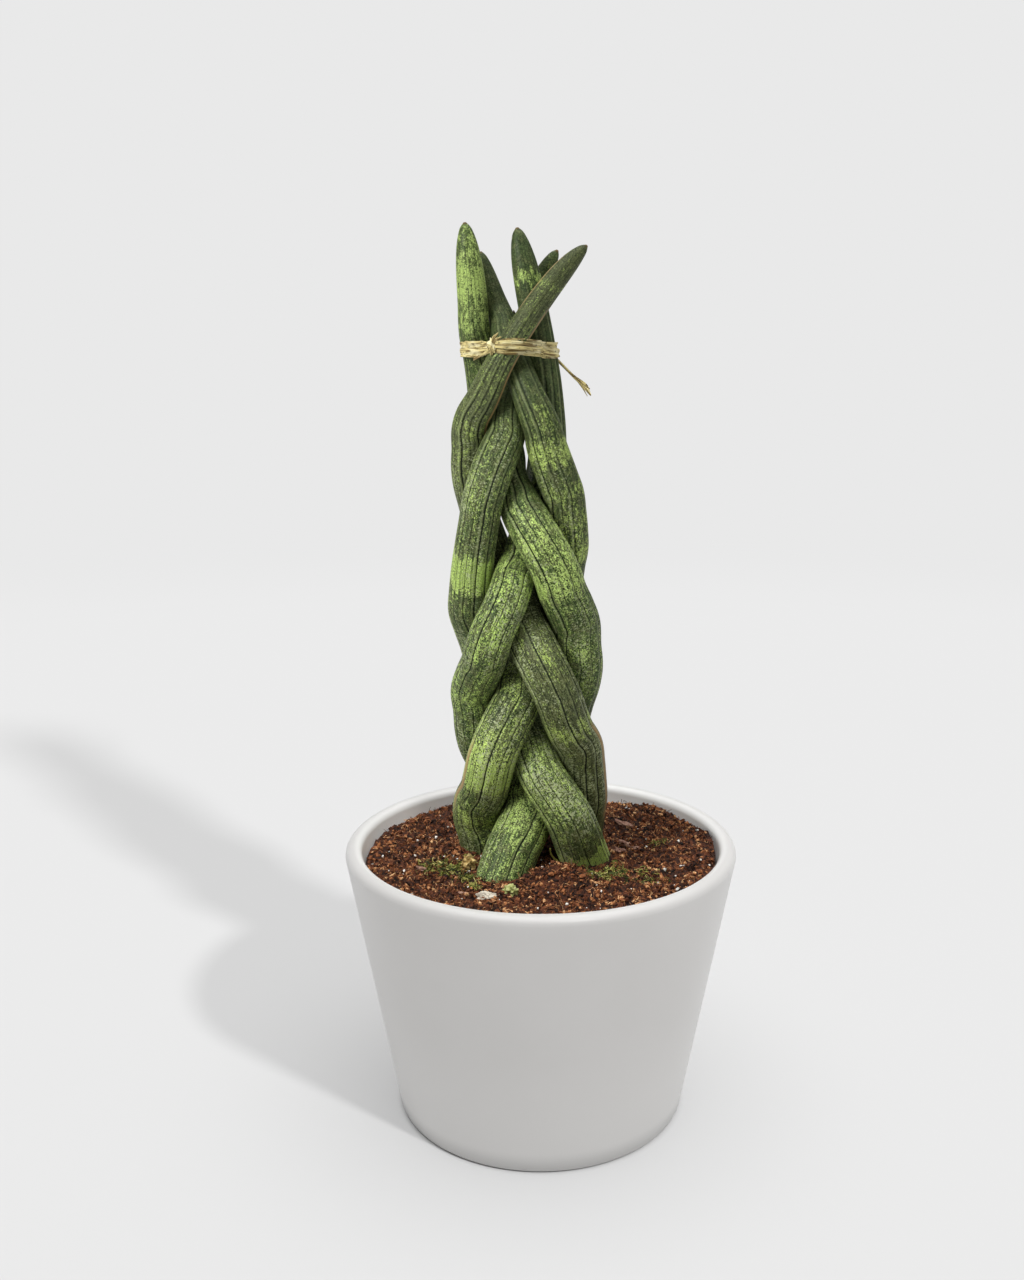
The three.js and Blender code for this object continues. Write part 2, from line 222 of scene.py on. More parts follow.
shadow_lamp = new_lamp(
    "shadow_lamp", "POINT", lit_paper, SHADOW_LAMP["place"],
    energy=SHADOW_LAMP["power"], shadow_soft_size=SHADOW_LAMP["size"],
)
shadow_lamp.data.use_nodes = True
tree = shadow_lamp.data.node_tree
level_light = add_node(tree, "LightFalloff", {"Strength": 1.0})
evenly = calculate(
    tree, "MULTIPLY", level_light.outputs["Constant"], level_light.outputs["Linear"]
)
tree.links.new(evenly, tree.nodes["Emission"].inputs["Strength"])

for name, lamp, receivers in (
    ("sheen_lamp", SHEEN_LAMP, lit_plant),
    ("rim_lamp", RIM_LAMP, lit_rim),
    ("soil_lamp", SOIL_LAMP, lit_soil),
):
    panel = new_lamp(
        name, "AREA", receivers, lamp["place"], energy=lamp["power"], size=lamp["size"]
    )
    aim = Vector(lamp["aim"]) - panel.location
    panel.rotation_euler = aim.to_track_quat("-Z", "Y").to_euler()

# Pot. A plain tapered planter of slip-cast ceramic with a rounded rim, glazed pale and satin all
# over but for the flat foot it was fired on. It is one turned form, hollow to take the soil.
POT_HEIGHT = 106.0
POT_RIM = 75.0
POT_FOOT = 55.5
POT_WALL = 6.4
POT_FLOOR = 8.0
FOOT_RINGS = (0.3, 0.6, 0.85, 0.93)
FOOT_ROUND = 0.6
FOOT_STEP = (2.0, 0.55)
CORNER_ROUND = 6.0
CORNER_TURNS = 6
RIM_TURNS = 24
WALL_RINGS = 20
POT_STEPS = 192
MERGE_GAP = 0.001 * MM

# The glaze's two tones, then the parts that differ, three of them by painted light and shade: the
# span in height, or in depth from the outer face, over which each comes in, how fully it covers, and its
# tone
GLAZE_TONES = ((0.70, 0.688, 0.672, 1), (0.715, 0.703, 0.688, 1))
# Lighter towards the bottom of the wall: painted light
PAINTED_LIGHT_LOW_WALL = (60 * MM, 5 * MM, 0.6, (0.80, 0.79, 0.772, 1))
# Darker over the last few millimetres above the foot: painted shade
PAINTED_SHADE_AT_FOOT = (9 * MM, 0.8 * MM, 0.85, (0.55, 0.543, 0.53, 1))
# Whiter over the rim's top and the inner face: painted light
PAINTED_LIGHT_INSIDE = (3.2 * MM, 6 * MM, 1.0, (0.95, 0.945, 0.93, 1))
BARE_FOOT = (0.5 * MM, 0.1 * MM, 1.0, (0.72, 0.69, 0.63, 1))
GLAZE_ROUGHNESS = (0.28, 0.34)
BARE_ROUGHER = 0.4
FLAT = (1, 1, 0)


def scaled(tree, place, factors):
    """A place with its three parts multiplied."""
    inputs = {0: place, 1: factors}
    return add_node(tree, "VectorMath", inputs, operation="MULTIPLY").outputs[0]


def grain(tree, place, scale, detail=2.0):
    """A soft noise that has this many swells to the metre."""
    inputs = {"Vector": place, "Scale": scale, "Detail": detail}
    return add_node(tree, "TexNoise", inputs).outputs["Fac"]


def add_bump(tree, shader, height, strength, distance):
    """Gives a shader its finest relief."""
    inputs = {"Height": height, "Strength": strength, "Distance": distance}
    bump = add_node(tree, "Bump", inputs)
    tree.links.new(bump.outputs[0], shader.inputs["Normal"])


def pot_radius(height):
    """The pot's outer radius at a height."""
    return POT_FOOT + (POT_RIM - POT_FOOT) * height / POT_HEIGHT


def arc(middle, radius, start, end, steps):
    """Points of an upright arc, as distances from the pot's axis and heights."""
    turns = np.radians(np.linspace(start, end, steps + 1))
    return [(middle[0] + radius * math.cos(t), middle[1] + radius * math.sin(t)) for t in turns]


def wall(inset, low, high):
    """Points up the pot's slope at a distance in from its outer face."""
    return [(pot_radius(z) - inset, z) for z in np.linspace(low, high, WALL_RINGS)]


def turned(name, profile, steps, material):
    """A closed body of revolution from a profile that starts and ends on the axis."""
    bm = bmesh.new()
    points = [bm.verts.new((r * MM, 0, z * MM)) for r, z in profile]
    edges = [bm.edges.new(pair) for pair in zip(points, points[1:])]
    bmesh.ops.spin(
        bm, geom=points + edges, cent=(0, 0, 0), axis=(0, 0, 1), dvec=(0, 0, 0),
        angle=2 * math.pi, steps=steps, use_merge=True,
    )
    bmesh.ops.remove_doubles(bm, verts=bm.verts, dist=MERGE_GAP)
    bmesh.ops.recalc_face_normals(bm, faces=bm.faces)
    return new_piece(name, bm, material)


glaze, tree, shader = new_material("satin_glaze")
place = object_place(tree)
cloud = grain(tree, place, 22.0, 3.0)
height = add_node(tree, "SeparateXYZ", {0: place}).outputs[2]
outer = calculate(tree, "MULTIPLY_ADD", height, (POT_RIM - POT_FOOT) / POT_HEIGHT, POT_FOOT * MM)
depth = calculate(tree, "SUBTRACT", outer, length_of(tree, scaled(tree, place, FLAT)))
coat = mix_colours(tree, ease(tree, cloud, 0.35, 0.65), *GLAZE_TONES)
for measure, (start, end, most, tone) in (
    (height, PAINTED_LIGHT_LOW_WALL), (height, PAINTED_SHADE_AT_FOOT), (depth, PAINTED_LIGHT_INSIDE), (height, BARE_FOOT)
):
    cover = ease(tree, measure, start, end, 0.0, most)
    coat = mix_colours(tree, cover, coat, tone)
tree.links.new(coat, shader.inputs["Base Color"])
gloss = ease(tree, cloud, 0.3, 0.7, *GLAZE_ROUGHNESS)
tree.links.new(calculate(tree, "MULTIPLY_ADD", cover, BARE_ROUGHER, gloss), shader.inputs["Roughness"])
pin = add_node(tree, "TexVoronoi", {"Vector": place, "Scale": 420.0})
pinholes = ease(tree, pin.outputs["Distance"], 0.02, 0.12)
skin = calculate(tree, "MULTIPLY_ADD", pinholes, 0.15, grain(tree, place, 260.0))
add_bump(tree, shader, skin, 0.1, 0.1 * MM)

rim = POT_WALL / 2
rim_middle = (pot_radius(POT_HEIGHT - rim) - rim, POT_HEIGHT - rim)
corner_height = POT_FLOOR + CORNER_ROUND
corner_middle = (pot_radius(corner_height) - POT_WALL - CORNER_ROUND, corner_height)
profile = (
    [(0, 0)]
    + [(POT_FOOT * share, 0) for share in FOOT_RINGS]
    + [(POT_FOOT - FOOT_STEP[0], 0), (POT_FOOT - FOOT_STEP[0], FOOT_STEP[1])]
    + arc((POT_FOOT - FOOT_ROUND, FOOT_ROUND + FOOT_STEP[1]), FOOT_ROUND, -90, 8, CORNER_TURNS)
    + wall(0, 3 * FOOT_ROUND, POT_HEIGHT - 2 * rim)
    + arc(rim_middle, rim, 0, 180, RIM_TURNS)
    + wall(POT_WALL, POT_HEIGHT - 2 * rim, corner_height)
    + arc(corner_middle, CORNER_ROUND, 0, -90, CORNER_TURNS)
    + [(0, POT_FLOOR)]
)
glazed_pot = turned("glazed_pot", profile, POT_STEPS, glaze)
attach(glazed_pot, "root")
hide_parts("pot")
lit_rim.objects.link(glazed_pot)

# Leaves. Five stiff, fleshy, rounded leaves of a cylindrical snake plant, braided while young,
# and a thin sixth one behind them. Each has long ribs with fine dark furrows between them, and a
# dark skin that is flecked all over and crossed by yellow-green bands.
PRESSED = 0.85
TIP_REACH = 0.9 * MM
LEAF_SIDES = 120
LEAF_RINGS = 270
LEAF_MERGE_GAP = 0.002 * MM
TIP_CROWDING = 1.5
HEADING_REACH = 0.5 * MM
SEED_STEP = 1.7

# The ribs' wander round the leaf, their strength along it, and their fading at the tip
RIBS = 12
WANDER = [(0.02, 19 * MM, 1), (0.03, 47 * MM, 2)]
RIB_STRENGTH = (0.6, 0.4)
RIB_WAVE = 31 * MM
RIB_SHIFT = 2.4
RIB_SWELL = 0.24 * MM
FURROW_WIDTH = 0.36 * MM
FURROW_DEPTH = 0.36 * MM
FURROW_FADE = (8 * MM, 80 * MM)
FURROW_LEAST = 0.12
THIN_LEAF = 5 * MM
UNEVEN = {"size": 0.1 * MM, "wave": 9 * MM, "turns": 3, "thin": 6 * MM}

# The plain skin near the tip, and the leaf's dry edges
CALM_TIP = (110 * MM, 50 * MM)
TIP_POINT = 1.2 * MM
TIP_BROWN = (0.14, 0.085, 0.03, 1)
MARGIN_WIDTH = 0.022
MARGIN_EASE = 4
MARGIN_BROWN = (0.40, 0.255, 0.115, 1)
MARGIN_COVER = 0.75

# Each leaf: where its ribs start, its greens and bloom (the bloom partly painted sheen), the
# percentage of light green in its skin by distance in millimetres from its foot (partly painted
# shade, lowest where other leaves shade it), its dry edges by turn, start and end, and its swells
LEAVES = {
    "leaf_1": {
        "phase": 0.1, "dark": (0.05, 0.078, 0.022, 1), "light": (0.37, 0.48, 0.14, 1), "wax_and_sheen": 0.2,
        "swells": [(259, 8, 0.5), (209, 9, -2.4)],
        "bands_and_shade": [
            (0, 35), (38, 40), (42, 58), (50, 50), (60, 55), (90, 25), (114, 20), (122, 42),
            (134, 42), (142, 34), (159, 30), (163, 72), (168, 68), (173, 42), (181, 54), (190, 40),
            (200, 20), (240, 30), (247, 40), (262, 34), (266, 42), (272, 60), (277, 50), (279, 80),
            (286, 78), (289, 50), (296, 50),
        ],
    },
    "leaf_2": {
        "phase": 0.45, "dark": (0.058, 0.082, 0.028, 1), "light": (0.37, 0.48, 0.13, 1), "wax_and_sheen": 0.42,
        "margins": [(0.24, 268, 288), (0.76, 272, 288)],
        "bands_and_shade": [
            (0, 30), (30, 50), (33, 85), (40, 85), (43, 25), (53, 28), (58, 45), (80, 50), (88, 35),
            (92, 15), (136, 35), (147, 40), (154, 20), (163, 36), (167, 80), (171, 95), (176.5, 95),
            (178, 30), (188, 30), (200, 38), (214, 32), (222, 30), (230, 20), (260, 15), (289, 15),
        ],
    },
    "leaf_3": {
        "phase": 0.7, "dark": (0.046, 0.065, 0.022, 1), "light": (0.36, 0.46, 0.12, 1), "wax_and_sheen": 0.3,
        "margins": [(0.20, 52, 82)], "swells": [(148, 14, 1.3), (251, 9, 0.9)],
        "bands_and_shade": [
            (0, 25), (46, 36), (54, 52), (61, 28), (67, 34), (70, 80), (78, 76), (84, 52), (94, 42),
            (103, 40), (140, 20), (168, 20), (173, 55), (178, 40), (184, 50), (190, 26), (195, 52),
            (200, 30), (206, 30), (209, 66), (214, 62), (216, 32), (228, 34), (236, 12), (252, 16),
            (258, 30), (263, 8), (282, 10),
        ],
    },
    "leaf_4": {
        "phase": 0.25, "dark": (0.062, 0.074, 0.03, 1), "light": (0.30, 0.38, 0.10, 1), "wax_and_sheen": 0.26,
        "margins": [(0.80, 216, 272), (0.20, 268, 291), (0.80, 46, 92)],
        "bands_and_shade": [
            (0, 10), (58, 10), (66, 20), (90, 22), (93, 58), (98, 60), (101, 26), (114, 26),
            (122, 38), (131, 34), (136, 12), (190, 20), (206, 36), (212, 40), (216, 30), (225, 48),
            (231, 30), (243, 38), (256, 32), (264, 26), (277, 20), (280, 50), (283, 16), (293, 14),
        ],
    },
    "leaf_5": {
        "phase": 0.0, "dark": (0.044, 0.066, 0.022, 1), "light": (0.34, 0.46, 0.12, 1), "wax_and_sheen": 0.26,
        "bands_and_shade": [
            (0, 20), (80, 22), (92, 34), (102, 42), (110, 52), (116, 38), (127, 45), (135, 50),
            (142, 40), (150, 62), (156, 40), (161, 56), (168, 40), (216, 20), (230, 22), (245, 15),
            (262, 12), (269, 12), (272, 62), (275, 60), (277, 10), (285, 10),
        ],
    },
    "leaf_slender": {
        "phase": 0.3, "dark": (0.055, 0.07, 0.028, 1), "light": (0.25, 0.36, 0.09, 1), "wax_and_sheen": 0.2,
        "bands_and_shade": [(0, 30), (120, 35), (229, 20)],
    },
}

# Tones that all the leaves share, from the dull patches of the dark skin to its furrows
DULL_GREEN = (0.095, 0.106, 0.042, 1)
SPARSE_GREEN = (0.17, 0.235, 0.06, 1)
BAND_GREEN = (0.25, 0.345, 0.085, 1)
CALM_GREEN = (0.29, 0.375, 0.115, 1)
PIT_GREEN = (0.012, 0.02, 0.006, 1)
# The bloom's pale tone, partly painted sheen
WAX_AND_SHEEN_TONE = (0.42, 0.47, 0.26, 1)
# A painted highlight along one bank of each furrow
CREST_HIGHLIGHT_TONE = (0.36, 0.42, 0.19, 1)
LINE_TONE = (0.014, 0.02, 0.008, 1)
FURROW_TONE = (0.005, 0.008, 0.004, 1)


def leaf_rings(solid):
    """The rings that a leaf's solid is built from, foot first: their middles and radii, unpressed."""
    bm = bmesh.new()
    bm.from_mesh(solid.data)
    bmesh.ops.remove_doubles(bm, verts=bm.verts, dist=MERGE_GAP)
    bm.verts.index_update()
    tip = max(bm.verts, key=lambda v: v.co.z).co.copy()
    ring = {v for v in bm.verts if (v.co - tip).length < TIP_REACH}
    passed = set(ring)
    middles, radii = [], []
    while len(ring) > 1:
        points = np.array([v.co for v in sorted(ring, key=lambda v: v.index)])
        points[:, 1] /= PRESSED
        middles.append(points.mean(0))
        radii.append(np.linalg.norm(points - middles[-1], axis=1).max())
        ring = {e.other_vert(v) for v in ring for e in v.link_edges} - passed
        passed |= ring
    bm.free()
    return np.array(middles[::-1]), np.array(radii[::-1])


def travelled(points):
    """How far along a line each of its points lies."""
    steps = np.linalg.norm(np.diff(points, axis=0), axis=1)
    return np.concatenate([[0], np.cumsum(steps)])


def unit(vectors):
    """The vectors, each with a length of one."""
    return vectors / np.linalg.norm(vectors, axis=1)[:, None]


def curve_through(stations, values, wanted):
    """Values at the wanted distances, on the smooth curve through the given ones."""
    slopes = np.gradient(values, stations, axis=0)
    i = np.clip(np.searchsorted(stations, wanted) - 1, 0, len(stations) - 2)
    gap = stations[i + 1] - stations[i]
    t = (wanted - stations[i]) / gap
    if values.ndim > 1:
        gap, t = gap[:, None], t[:, None]
    start = (1 + 2 * t) * (1 - t) ** 2 * values[i] + t * (1 - t) ** 2 * gap * slopes[i]
    return start + t * t * (3 - 2 * t) * values[i + 1] + t * t * (t - 1) * gap * slopes[i + 1]


def sheet_of_points(columns, rows):
    """A flat grid of faces to be carried to its place, with how far round and along each point is."""
    bm = bmesh.new()
    bmesh.ops.create_grid(bm, x_segments=columns, y_segments=rows, size=0.5)
    share = np.array([v.co for v in bm.verts])[:, :2] + 0.5
    return bm, share[:, 0], share[:, 1]


def carry(bm, places):
    """Moves every point of a bmesh to its place."""
    for vert, to in zip(bm.verts, places):
        vert.co = to


def note(bm, name, values):
    """Keeps a vector with every point of a bmesh, for its material to read."""
    layer = bm.verts.layers.float_vector.new(name)
    for vert, value in zip(bm.verts, values):
        vert[layer] = value


def leaf_mesh(solid, seed, leaf):
    """A closed ribbed tube along a leaf. Straight is each point's place on the leaf laid straight."""
    middles, radii = leaf_rings(solid)
    stations = travelled(middles)
    length = stations[-1]
    bm, turn_share, along_share = sheet_of_points(LEAF_SIDES, LEAF_RINGS)
    along = length * (1 - (1 - along_share) ** TIP_CROWDING)
    middle = curve_through(stations, middles, along)
    ahead = curve_through(stations, middles, np.minimum(along + HEADING_REACH, length))
    behind = curve_through(stations, middles, np.maximum(along - HEADING_REACH, 0))
    tangent = unit(ahead - behind)
    front = unit(np.array([0, -1.0, 0]) + tangent * tangent[:, 1:2])
    side = np.cross(front, tangent)
    turn = 2 * math.pi * turn_share

    wander = sum(size * np.sin(along / wave + k * seed) for size, wave, k in WANDER)
    rib_turn = turn + wander + 2 * math.pi * leaf["phase"] / RIBS
    rib = np.round(rib_turn * RIBS / (2 * math.pi))
    radius = np.maximum(curve_through(stations, radii, along), 0)
    for at, spread, size in leaf.get("swells", []):
        radius = radius + size * MM * np.exp(-(((along / MM - at) / spread) ** 2))
    off = (rib_turn - rib * 2 * math.pi / RIBS) * radius
    mean, sway = RIB_STRENGTH
    strength = mean + sway * np.sin(along / RIB_WAVE + RIB_SHIFT * (rib % RIBS) + seed)
    from_tip = (length - along - FURROW_FADE[0]) / (FURROW_FADE[1] - FURROW_FADE[0])
    strength *= np.clip(from_tip, FURROW_LEAST, 1) * np.clip(radius / THIN_LEAF, 0, 1)
    swell = RIB_SWELL * strength * 0.5 * (1 - np.cos(rib_turn * RIBS))
    cut = FURROW_DEPTH * strength * np.exp(-((off / FURROW_WIDTH) ** 2))
    uneven = UNEVEN["size"] * np.sin(along / UNEVEN["wave"] + UNEVEN["turns"] * turn_share + seed)
    uneven = uneven * np.clip(radius / UNEVEN["thin"], 0, 1)

    ends = (along_share > 0.5 / LEAF_RINGS) & (along_share < 1 - 0.5 / LEAF_RINGS)
    out = np.where(ends, radius + swell - cut + uneven, 0)[:, None]
    places = middle + out * (np.cos(turn)[:, None] * front + np.sin(turn)[:, None] * side)
    places[:, 1] *= PRESSED
    straight = np.stack([radius * np.cos(rib_turn), radius * np.sin(rib_turn), along], axis=1)
    carry(bm, places)
    note(bm, "straight", straight)
    note(bm, "furrow", np.stack([strength, turn_share, along / length], axis=1))
    bmesh.ops.remove_doubles(bm, verts=bm.verts, dist=LEAF_MERGE_GAP)
    bmesh.ops.recalc_face_normals(bm, faces=bm.faces)
    return bm, length


def new_group(name, inputs, outputs):
    """An empty shader node group with named inputs and outputs."""
    group = bpy.data.node_groups.new(name, "ShaderNodeTree")
    for socket, kind in inputs:
        group.interface.new_socket(socket, in_out="INPUT", socket_type="NodeSocket" + kind)
    for socket, kind in outputs:
        group.interface.new_socket(socket, in_out="OUTPUT", socket_type="NodeSocket" + kind)
    return group, group.nodes.new("NodeGroupInput"), group.nodes.new("NodeGroupOutput")


def times(tree, first, second):
    """Two values multiplied."""
    return calculate(tree, "MULTIPLY", first, second)


def long_grain(tree, straight, scale, along, detail=2.0):
    """A soft noise drawn out lengthwise on a leaf or strip that is laid straight."""
    return grain(tree, scaled(tree, straight, (1, 1, along)), scale, detail)


def swayed(tree, value, cause, amount):
    """A value swayed up and down by a noise."""
    return calculate(tree, "MULTIPLY_ADD", calculate(tree, "SUBTRACT", cause, 0.5), amount, value)


def attribute(tree, name, output="Vector"):
    """What was kept with each point of the piece."""
    return add_node(tree, "Attribute", attribute_name=name).outputs[output]


def cell_tones(tree, place, scale):
    """Flat random tones, one to a cell, with this many cells to the metre."""
    cells = add_node(tree, "TexVoronoi", {"Vector": place, "Scale": scale})
    return add_node(tree, "SeparateColor", {0: cells.outputs["Color"]}).outputs


leaf_skin, given, made = new_group(
    "leaf_skin",
    [("Straight", "Vector"), ("Furrow", "Float"), ("Light Share", "Float"), ("Calm", "Float"),
     ("Wax_And_Sheen", "Float"), ("Dark", "Color"), ("Light", "Color")],
    [("Color", "Color"), ("Roughness", "Float"), ("Height", "Float")],
)
tree = leaf_skin
straight, furrow, light_share, calm, wax_and_sheen, own_dark, own_light = given.outputs[:7]
warp = add_node(tree, "TexNoise", {"Vector": straight, "Scale": 1400.0, "Detail": 1.0})
warped = add_node(
    tree, "VectorMath",
    {0: warp.outputs["Color"], 1: (0.6 * MM, 0.6 * MM, 0.6 * MM), 2: straight}, operation="MULTIPLY_ADD",
).outputs[0]
fleck_chance, fleck_gain = cell_tones(tree, warped, 3000.0)[:2]

# The share of light flecks, swayed by blotches, streaks and wide patches
blotch = long_grain(tree, straight, 850.0, 0.7, 1.0)
streak = long_grain(tree, straight, 1100.0, 0.08)
patch = long_grain(tree, straight, 230.0, 0.6)
share = calculate(tree, "MULTIPLY_ADD", light_share, 1.65, -0.4)
for cause, amount in ((blotch, 1.1), (streak, 0.8), (patch, 1.1)):
    share = swayed(tree, share, cause, amount)

# The flesh: a light or a dark green in each fleck, plainer near the tip, with near-black pits
shade = grain(tree, straight, 420.0)
dark = mix_colours(tree, ease(tree, shade, 0.42, 0.62, 0.0, 0.75), own_dark, DULL_GREEN)
light = mix_colours(tree, ease(tree, share, 0.3, 0.75, 0.6, 0.0), own_light, SPARSE_GREEN)
light = mix_colours(tree, ease(tree, share, 0.6, 0.9, 0.0, 0.85), light, BAND_GREEN)
dark = mix_colours(tree, 1.0, dark, ease(tree, fleck_gain, 0.0, 1.0, 0.5, 2.1), "MULTIPLY")
light = mix_colours(tree, 1.0, light, ease(tree, fleck_gain, 0.0, 1.0, 0.95, 1.85), "MULTIPLY")
level = calculate(tree, "SUBTRACT", share, fleck_chance)
flesh = mix_colours(tree, ease(tree, level, -0.05, 0.1), dark, light)
calm_flesh = mix_colours(tree, ease(tree, share, 0.2, 0.8), own_dark, CALM_GREEN)
flesh = mix_colours(tree, times(tree, calm, 0.4), flesh, calm_flesh)
flesh = mix_colours(tree, ease(tree, fleck_chance, 0.9, 0.95, 0.0, 0.8), flesh, PIT_GREEN)

# The bloom: small pale scales of wax in clouds, and none near the tip. They also stand for the
# leaves' sheen, as painted sheen
wax_and_sheen_chance = cell_tones(tree, scaled(tree, warped, (0.8, 0.8, 1.7)), 2000.0)[1]
wax_and_sheen_cloud = ease(tree, long_grain(tree, straight, 130.0, 0.3), 0.42, 0.62, 0.1, 1.0)
wax_and_sheen_share = times(tree, wax_and_sheen, wax_and_sheen_cloud)
wax_and_sheen_share = times(tree, wax_and_sheen_share, ease(tree, calm, 0.0, 1.0, 1.0, 0.0))
wax_and_sheen_mask = ease(tree, calculate(tree, "SUBTRACT", wax_and_sheen_share, wax_and_sheen_chance), -0.04, 0.08, 0.0, 0.75)
waxed_and_sheened = mix_colours(tree, wax_and_sheen_mask, flesh, WAX_AND_SHEEN_TONE)

# The furrows, with a painted highlight along one bank, and two sorts of finer lines between them
parts = add_node(tree, "SeparateXYZ", {0: straight})
rib_turn = calculate(tree, "ARCTAN2", parts.outputs[1], parts.outputs[0])
rib_phase = times(tree, rib_turn, RIBS)
chord = calculate(tree, "MULTIPLY_ADD", calculate(tree, "COSINE", rib_phase), -2.0, 2.0)
leaf_radius = length_of(tree, scaled(tree, straight, FLAT))
from_furrow = times(
    tree, calculate(tree, "SQRT", chord), calculate(tree, "DIVIDE", leaf_radius, RIBS)
)
highlight_bank = ease(tree, calculate(tree, "SINE", rib_phase), -0.2, 0.2, 0.15, 1.0)
line = times(tree, ease(tree, from_furrow, 0.38 * MM, 0.15 * MM), furrow)
crest_highlight = times(
    tree, ease(tree, from_furrow, 1.1 * MM, 0.85 * MM), ease(tree, from_furrow, 0.45 * MM, 0.6 * MM)
)
crest_highlight = times(tree, times(tree, crest_highlight, highlight_bank), furrow)
thread = long_grain(tree, straight, 300.0, 0.15)
minor = calculate(tree, "COSINE", times(tree, rib_turn, 2 * RIBS))
fine = calculate(tree, "COSINE", times(tree, rib_turn, 5 * RIBS))
minor_line = times(tree, ease(tree, minor, 0.86, 0.96), ease(tree, thread, 0.46, 0.56, 0.0, 0.75))
fine_line = times(tree, ease(tree, fine, 0.6, 1.0), ease(tree, streak, 0.48, 0.6, 0.0, 0.7))
crest_highlighted = mix_colours(tree, times(tree, crest_highlight, 0.42), waxed_and_sheened, CREST_HIGHLIGHT_TONE)
lined = mix_colours(tree, calculate(tree, "MAXIMUM", minor_line, fine_line), crest_highlighted, LINE_TONE)
furrowed = mix_colours(tree, times(tree, line, 0.95), lined, FURROW_TONE)
tree.links.new(furrowed, made.inputs["Color"])
tree.links.new(calculate(tree, "MULTIPLY_ADD", fleck_chance, 0.2, 0.36), made.inputs["Roughness"])
relief = calculate(tree, "MULTIPLY_ADD", fleck_gain, 0.35, shade)
tree.links.new(calculate(tree, "MULTIPLY_ADD", line, -1.2, relief), made.inputs["Height"])


def leaf_material(name, length, leaf):
    """A leaf's own skin: where its light bands lie, its greens, its dry edges and its tip."""
    material, tree, shader = new_material(name + "_skin")
    straight = attribute(tree, "straight")
    along = add_node(tree, "SeparateXYZ", {0: straight}).outputs[2]
    strength, turn_share, along_share = add_node(
        tree, "SeparateXYZ", {0: attribute(tree, "furrow")}
    ).outputs
    jag = long_grain(tree, straight, 620.0, 0.12)
    share = calculate(tree, "DIVIDE", swayed(tree, along, jag, 14 * MM), length)
    # Light green along the leaf by its bands, darker in places as painted shade
    bands_and_shade = ramp_of(
        tree, share, [(at * MM / length, (percent / 100,) * 3) for at, percent in leaf["bands_and_shade"]]
    )
    calm = ease(tree, along, length - CALM_TIP[0], length - CALM_TIP[1])
    skin = add_node(tree, "Group", node_tree=leaf_skin)
    for socket, value in (
        ("Straight", straight), ("Furrow", strength), ("Light Share", bands_and_shade), ("Calm", calm),
    ):
        tree.links.new(value, skin.inputs[socket])
    for socket in ("Wax_And_Sheen", "Dark", "Light"):
        skin.inputs[socket].default_value = leaf[socket.lower()]
    edged = skin.outputs["Color"]
    for turn_at, start, end in leaf.get("margins", []):
        off = calculate(tree, "ABSOLUTE", calculate(tree, "SUBTRACT", turn_share, turn_at))
        mask = ease(tree, off, MARGIN_WIDTH, 0.4 * MARGIN_WIDTH)
        for at, way in ((start, 1), (end, -1)):
            reach = way * MARGIN_EASE
            mask = times(tree, mask, ease(tree, along, (at - reach) * MM, (at + reach) * MM))
        edged = mix_colours(tree, times(tree, mask, MARGIN_COVER), edged, MARGIN_BROWN)
    point = ease(tree, along_share, 1 - TIP_POINT / length, 1.0)
    tipped = mix_colours(tree, point, edged, TIP_BROWN)
    tree.links.new(tipped, shader.inputs["Base Color"])
    tree.links.new(skin.outputs["Roughness"], shader.inputs["Roughness"])
    shader.inputs["Specular IOR Level"].default_value = 0.15
    add_bump(tree, shader, skin.outputs["Height"], 0.6, 0.2 * MM)
    return material


leaf_pieces = []
for seed, (name, leaf) in enumerate(LEAVES.items()):
    bm, length = leaf_mesh(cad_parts[name], SEED_STEP * seed, leaf)
    piece = new_piece("ribbed_" + name, bm, leaf_material(name, length, leaf))
    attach(piece, "root")
    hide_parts(name)
    lit_plant.objects.link(piece)
    leaf_pieces.append(piece)

# Soil. Moist reddish coir and peat, heaped loosely against the leaves: a bed of fine crumbs with
# bigger crumbs and short tan fibres on it. It is filled in round the leaves and held by the pot.
SOIL_LEVEL = 97.5
SOIL_SWELL = {"height": 0.5, "x": 0.13, "y": 0.11}
SOIL_BANK = {"start": 44, "end": 64, "height": 2.0}
SOIL_GAP = 0.3
SOIL_EDGE = 66.0
BED_RINGS = 80
BED_STEPS = 260

# Mounds by place, width and height, and clods by height, width and seed, in millimetres
MOUNDS = [
    (5.5, -27, 9.5, 7.5), (15, -30, 9, 3), (25, 0, 13, 2), (-30, 4, 12, 2.5), (30, 32, 17, 2.5),
    (63, 8, 16, 4.5), (50, 40, 16, 2.5),
]
CLODS = [(1.5, 5, 3), (1.1, 1.8, 9)]

CRUMBS = 9500
CRUMB_SHAPES = 6
CRUMB_SIZES = (0.3, 1.2)
CRUMB_SQUASH = (0.35, 0.8)
FIBRES = 4400
FIBRE_BENDS = (0.4, 0.9, 1.4, 2.0)
FIBRE_CUTS = 4
FIBRE_RADII = (0.045, 0.025)
FIBRE_LENGTHS = (1.6, 4.0)
FIBRE_WIDTHS = (2.0, 4.5)
FIBRE_LEAN = (90, 22)
CLUMP_WIDTH = 3.2
COIR_TONES = [
    (0.0, (0.004, 0.001, 0.0003)), (0.25, (0.03, 0.008, 0.0025)), (0.5, (0.125, 0.036, 0.012)),
    (0.75, (0.34, 0.13, 0.045)), (1.0, (0.74, 0.45, 0.22)),
]

rng = np.random.default_rng(7)


